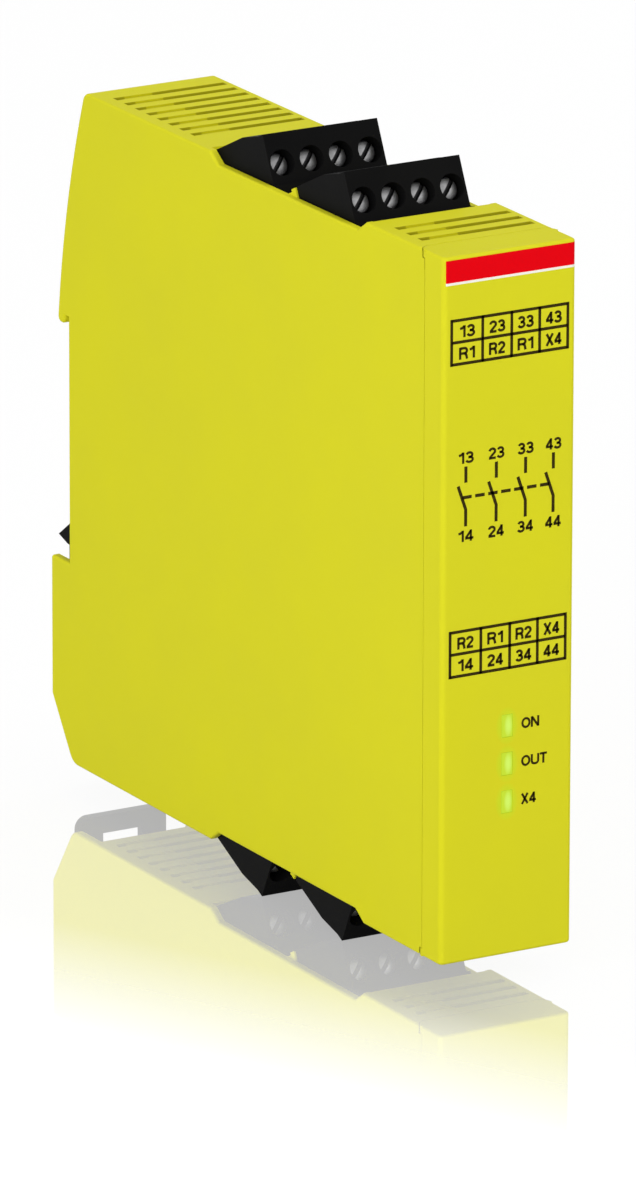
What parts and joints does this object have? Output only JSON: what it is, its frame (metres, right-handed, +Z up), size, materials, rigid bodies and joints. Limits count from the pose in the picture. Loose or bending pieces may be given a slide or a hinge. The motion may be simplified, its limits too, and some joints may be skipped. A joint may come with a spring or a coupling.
{
  "type": "safety relay",
  "caption": "Slim yellow safety relay for a 35 mm rail, with pull-out black screw terminal plugs, status lamps, vent slots and a sprung rail latch",
  "frame": {"origin": "middle of the footprint, on the surface the module stands on", "axes": "+X across the module's width, +Y from the front face back to the rail, +Z up"},
  "size_m": [0.0226, 0.1186, 0.119],
  "materials": {
    "housing": "moulded, fine matt grain",
    "terminal": "moulded, satin",
    "screw": "zinc plated",
    "clamp": "plated",
    "contact": "tinned",
    "spring_steel": "drawn wire",
    "board": "solder resist",
    "relay_case": "moulded",
    "lamp": "clear cased lamp",
    "clear_plastic": "clear",
    "can": "sleeved can"
  },
  "bodies": {
    "housing": {"housing_body": "housing", "side_cover": "housing", "front_cap": "housing", "circuit_board": "board", "upper_relay": "relay_case", "lower_relay": "relay_case", "status_lamps": "lamp", "light_guides": "clear_plastic", "capacitors": "can", "latch_spring": "spring_steel", "socket_top_rear": "terminal", "pins_top_rear": "contact", "socket_top_front": "terminal", "pins_top_front": "contact", "socket_bottom_rear": "terminal", "pins_bottom_rear": "contact", "socket_bottom_front": "terminal", "pins_bottom_front": "contact"},
    "latch": {"rail_latch": "terminal"},
    "plug_top_rear": {"plug_top_rear": "terminal", "contacts_top_rear": "contact"},
    "screw_top_rear_1": {"screw_top_rear_1": "screw"},
    "clamp_top_rear_1": {"clamp_top_rear_1": "clamp"},
    "screw_top_rear_2": {"screw_top_rear_2": "screw"},
    "clamp_top_rear_2": {"clamp_top_rear_2": "clamp"},
    "screw_top_rear_3": {"screw_top_rear_3": "screw"},
    "clamp_top_rear_3": {"clamp_top_rear_3": "clamp"},
    "screw_top_rear_4": {"screw_top_rear_4": "screw"},
    "clamp_top_rear_4": {"clamp_top_rear_4": "clamp"},
    "plug_top_front": {"plug_top_front": "terminal", "contacts_top_front": "contact"},
    "screw_top_front_1": {"screw_top_front_1": "screw"},
    "clamp_top_front_1": {"clamp_top_front_1": "clamp"},
    "screw_top_front_2": {"screw_top_front_2": "screw"},
    "clamp_top_front_2": {"clamp_top_front_2": "clamp"},
    "screw_top_front_3": {"screw_top_front_3": "screw"},
    "clamp_top_front_3": {"clamp_top_front_3": "clamp"},
    "screw_top_front_4": {"screw_top_front_4": "screw"},
    "clamp_top_front_4": {"clamp_top_front_4": "clamp"},
    "plug_bottom_rear": {"plug_bottom_rear": "terminal", "contacts_bottom_rear": "contact"},
    "screw_bottom_rear_1": {"screw_bottom_rear_1": "screw"},
    "clamp_bottom_rear_1": {"clamp_bottom_rear_1": "clamp"},
    "screw_bottom_rear_2": {"screw_bottom_rear_2": "screw"},
    "clamp_bottom_rear_2": {"clamp_bottom_rear_2": "clamp"},
    "screw_bottom_rear_3": {"screw_bottom_rear_3": "screw"},
    "clamp_bottom_rear_3": {"clamp_bottom_rear_3": "clamp"},
    "screw_bottom_rear_4": {"screw_bottom_rear_4": "screw"},
    "clamp_bottom_rear_4": {"clamp_bottom_rear_4": "clamp"},
    "plug_bottom_front": {"plug_bottom_front": "terminal", "contacts_bottom_front": "contact"},
    "screw_bottom_front_1": {"screw_bottom_front_1": "screw"},
    "clamp_bottom_front_1": {"clamp_bottom_front_1": "clamp"},
    "screw_bottom_front_2": {"screw_bottom_front_2": "screw"},
    "clamp_bottom_front_2": {"clamp_bottom_front_2": "clamp"},
    "screw_bottom_front_3": {"screw_bottom_front_3": "screw"},
    "clamp_bottom_front_3": {"clamp_bottom_front_3": "clamp"},
    "screw_bottom_front_4": {"screw_bottom_front_4": "screw"},
    "clamp_bottom_front_4": {"clamp_bottom_front_4": "clamp"}
  },
  "joints": [
    {"name": "latch_slide", "type": "slide", "parent": "housing", "child": "latch", "axis": [0, 0, -1], "range_m": [0, 0.0035], "stiffness_N_per_m": 1200, "springref_m": -0.003, "deforming": ["latch_spring"]},
    {"name": "plug_top_rear_slide", "type": "slide", "parent": "housing", "child": "plug_top_rear", "axis": [0, 0.4274, 0.9041], "range_m": [0, 0.012]},
    {"name": "screw_top_rear_1_turn", "type": "hinge", "parent": "plug_top_rear", "child": "screw_top_rear_1", "pos_m": [-0.0075, -0.00456, 0.11424], "axis": [0, 0.9041, -0.4274], "range_deg": [0, 1800]},
    {"name": "clamp_top_rear_1_lift", "type": "slide", "parent": "plug_top_rear", "child": "clamp_top_rear_1", "axis": [0, -0.9041, 0.4274], "range_m": [0, 0.0025]},
    {"name": "screw_top_rear_2_turn", "type": "hinge", "parent": "plug_top_rear", "child": "screw_top_rear_2", "pos_m": [-0.0025, -0.00456, 0.11424], "axis": [0, 0.9041, -0.4274], "range_deg": [0, 1800]},
    {"name": "clamp_top_rear_2_lift", "type": "slide", "parent": "plug_top_rear", "child": "clamp_top_rear_2", "axis": [0, -0.9041, 0.4274], "range_m": [0, 0.0025]},
    {"name": "screw_top_rear_3_turn", "type": "hinge", "parent": "plug_top_rear", "child": "screw_top_rear_3", "pos_m": [0.0025, -0.00456, 0.11424], "axis": [0, 0.9041, -0.4274], "range_deg": [0, 1800]},
    {"name": "clamp_top_rear_3_lift", "type": "slide", "parent": "plug_top_rear", "child": "clamp_top_rear_3", "axis": [0, -0.9041, 0.4274], "range_m": [0, 0.0025]},
    {"name": "screw_top_rear_4_turn", "type": "hinge", "parent": "plug_top_rear", "child": "screw_top_rear_4", "pos_m": [0.0075, -0.00456, 0.11424], "axis": [0, 0.9041, -0.4274], "range_deg": [0, 1800]},
    {"name": "clamp_top_rear_4_lift", "type": "slide", "parent": "plug_top_rear", "child": "clamp_top_rear_4", "axis": [0, -0.9041, 0.4274], "range_m": [0, 0.0025]},
    {"name": "plug_top_front_slide", "type": "slide", "parent": "housing", "child": "plug_top_front", "axis": [0, 0.4274, 0.9041], "range_m": [0, 0.012]},
    {"name": "screw_top_front_1_turn", "type": "hinge", "parent": "plug_top_front", "child": "screw_top_front_1", "pos_m": [-0.0075, -0.02866, 0.11424], "axis": [0, 0.9041, -0.4274], "range_deg": [0, 1800]},
    {"name": "clamp_top_front_1_lift", "type": "slide", "parent": "plug_top_front", "child": "clamp_top_front_1", "axis": [0, -0.9041, 0.4274], "range_m": [0, 0.0025]},
    {"name": "screw_top_front_2_turn", "type": "hinge", "parent": "plug_top_front", "child": "screw_top_front_2", "pos_m": [-0.0025, -0.02866, 0.11424], "axis": [0, 0.9041, -0.4274], "range_deg": [0, 1800]},
    {"name": "clamp_top_front_2_lift", "type": "slide", "parent": "plug_top_front", "child": "clamp_top_front_2", "axis": [0, -0.9041, 0.4274], "range_m": [0, 0.0025]},
    {"name": "screw_top_front_3_turn", "type": "hinge", "parent": "plug_top_front", "child": "screw_top_front_3", "pos_m": [0.0025, -0.02866, 0.11424], "axis": [0, 0.9041, -0.4274], "range_deg": [0, 1800]},
    {"name": "clamp_top_front_3_lift", "type": "slide", "parent": "plug_top_front", "child": "clamp_top_front_3", "axis": [0, -0.9041, 0.4274], "range_m": [0, 0.0025]},
    {"name": "screw_top_front_4_turn", "type": "hinge", "parent": "plug_top_front", "child": "screw_top_front_4", "pos_m": [0.0075, -0.02866, 0.11424], "axis": [0, 0.9041, -0.4274], "range_deg": [0, 1800]},
    {"name": "clamp_top_front_4_lift", "type": "slide", "parent": "plug_top_front", "child": "clamp_top_front_4", "axis": [0, -0.9041, 0.4274], "range_m": [0, 0.0025]},
    {"name": "plug_bottom_rear_slide", "type": "slide", "parent": "housing", "child": "plug_bottom_rear", "axis": [0, 0.4274, -0.9041], "range_m": [0, 0.012]},
    {"name": "screw_bottom_rear_1_turn", "type": "hinge", "parent": "plug_bottom_rear", "child": "screw_bottom_rear_1", "pos_m": [-0.0075, -0.00456, 0.00472], "axis": [0, 0.9041, 0.4274], "range_deg": [0, 1800]},
    {"name": "clamp_bottom_rear_1_lift", "type": "slide", "parent": "plug_bottom_rear", "child": "clamp_bottom_rear_1", "axis": [0, -0.9041, -0.4274], "range_m": [0, 0.0025]},
    {"name": "screw_bottom_rear_2_turn", "type": "hinge", "parent": "plug_bottom_rear", "child": "screw_bottom_rear_2", "pos_m": [-0.0025, -0.00456, 0.00472], "axis": [0, 0.9041, 0.4274], "range_deg": [0, 1800]},
    {"name": "clamp_bottom_rear_2_lift", "type": "slide", "parent": "plug_bottom_rear", "child": "clamp_bottom_rear_2", "axis": [0, -0.9041, -0.4274], "range_m": [0, 0.0025]},
    {"name": "screw_bottom_rear_3_turn", "type": "hinge", "parent": "plug_bottom_rear", "child": "screw_bottom_rear_3", "pos_m": [0.0025, -0.00456, 0.00472], "axis": [0, 0.9041, 0.4274], "range_deg": [0, 1800]},
    {"name": "clamp_bottom_rear_3_lift", "type": "slide", "parent": "plug_bottom_rear", "child": "clamp_bottom_rear_3", "axis": [0, -0.9041, -0.4274], "range_m": [0, 0.0025]},
    {"name": "screw_bottom_rear_4_turn", "type": "hinge", "parent": "plug_bottom_rear", "child": "screw_bottom_rear_4", "pos_m": [0.0075, -0.00456, 0.00472], "axis": [0, 0.9041, 0.4274], "range_deg": [0, 1800]},
    {"name": "clamp_bottom_rear_4_lift", "type": "slide", "parent": "plug_bottom_rear", "child": "clamp_bottom_rear_4", "axis": [0, -0.9041, -0.4274], "range_m": [0, 0.0025]},
    {"name": "plug_bottom_front_slide", "type": "slide", "parent": "housing", "child": "plug_bottom_front", "axis": [0, 0.4274, -0.9041], "range_m": [0, 0.012]},
    {"name": "screw_bottom_front_1_turn", "type": "hinge", "parent": "plug_bottom_front", "child": "screw_bottom_front_1", "pos_m": [-0.0075, -0.02866, 0.00472], "axis": [0, 0.9041, 0.4274], "range_deg": [0, 1800]},
    {"name": "clamp_bottom_front_1_lift", "type": "slide", "parent": "plug_bottom_front", "child": "clamp_bottom_front_1", "axis": [0, -0.9041, -0.4274], "range_m": [0, 0.0025]},
    {"name": "screw_bottom_front_2_turn", "type": "hinge", "parent": "plug_bottom_front", "child": "screw_bottom_front_2", "pos_m": [-0.0025, -0.02866, 0.00472], "axis": [0, 0.9041, 0.4274], "range_deg": [0, 1800]},
    {"name": "clamp_bottom_front_2_lift", "type": "slide", "parent": "plug_bottom_front", "child": "clamp_bottom_front_2", "axis": [0, -0.9041, -0.4274], "range_m": [0, 0.0025]},
    {"name": "screw_bottom_front_3_turn", "type": "hinge", "parent": "plug_bottom_front", "child": "screw_bottom_front_3", "pos_m": [0.0025, -0.02866, 0.00472], "axis": [0, 0.9041, 0.4274], "range_deg": [0, 1800]},
    {"name": "clamp_bottom_front_3_lift", "type": "slide", "parent": "plug_bottom_front", "child": "clamp_bottom_front_3", "axis": [0, -0.9041, -0.4274], "range_m": [0, 0.0025]},
    {"name": "screw_bottom_front_4_turn", "type": "hinge", "parent": "plug_bottom_front", "child": "screw_bottom_front_4", "pos_m": [0.0075, -0.02866, 0.00472], "axis": [0, 0.9041, 0.4274], "range_deg": [0, 1800]},
    {"name": "clamp_bottom_front_4_lift", "type": "slide", "parent": "plug_bottom_front", "child": "clamp_bottom_front_4", "axis": [0, -0.9041, -0.4274], "range_m": [0, 0.0025]}
  ],
  "couplings": [
    {"joint": "screw_top_rear_1_turn", "follows": "clamp_top_rear_1_lift", "rad_per_m": 12566},
    {"joint": "screw_top_rear_2_turn", "follows": "clamp_top_rear_2_lift", "rad_per_m": 12566},
    {"joint": "screw_top_rear_3_turn", "follows": "clamp_top_rear_3_lift", "rad_per_m": 12566},
    {"joint": "screw_top_rear_4_turn", "follows": "clamp_top_rear_4_lift", "rad_per_m": 12566},
    {"joint": "screw_top_front_1_turn", "follows": "clamp_top_front_1_lift", "rad_per_m": 12566},
    {"joint": "screw_top_front_2_turn", "follows": "clamp_top_front_2_lift", "rad_per_m": 12566},
    {"joint": "screw_top_front_3_turn", "follows": "clamp_top_front_3_lift", "rad_per_m": 12566},
    {"joint": "screw_top_front_4_turn", "follows": "clamp_top_front_4_lift", "rad_per_m": 12566},
    {"joint": "screw_bottom_rear_1_turn", "follows": "clamp_bottom_rear_1_lift", "rad_per_m": 12566},
    {"joint": "screw_bottom_rear_2_turn", "follows": "clamp_bottom_rear_2_lift", "rad_per_m": 12566},
    {"joint": "screw_bottom_rear_3_turn", "follows": "clamp_bottom_rear_3_lift", "rad_per_m": 12566},
    {"joint": "screw_bottom_rear_4_turn", "follows": "clamp_bottom_rear_4_lift", "rad_per_m": 12566},
    {"joint": "screw_bottom_front_1_turn", "follows": "clamp_bottom_front_1_lift", "rad_per_m": 12566},
    {"joint": "screw_bottom_front_2_turn", "follows": "clamp_bottom_front_2_lift", "rad_per_m": 12566},
    {"joint": "screw_bottom_front_3_turn", "follows": "clamp_bottom_front_3_lift", "rad_per_m": 12566},
    {"joint": "screw_bottom_front_4_turn", "follows": "clamp_bottom_front_4_lift", "rad_per_m": 12566}
  ]
}
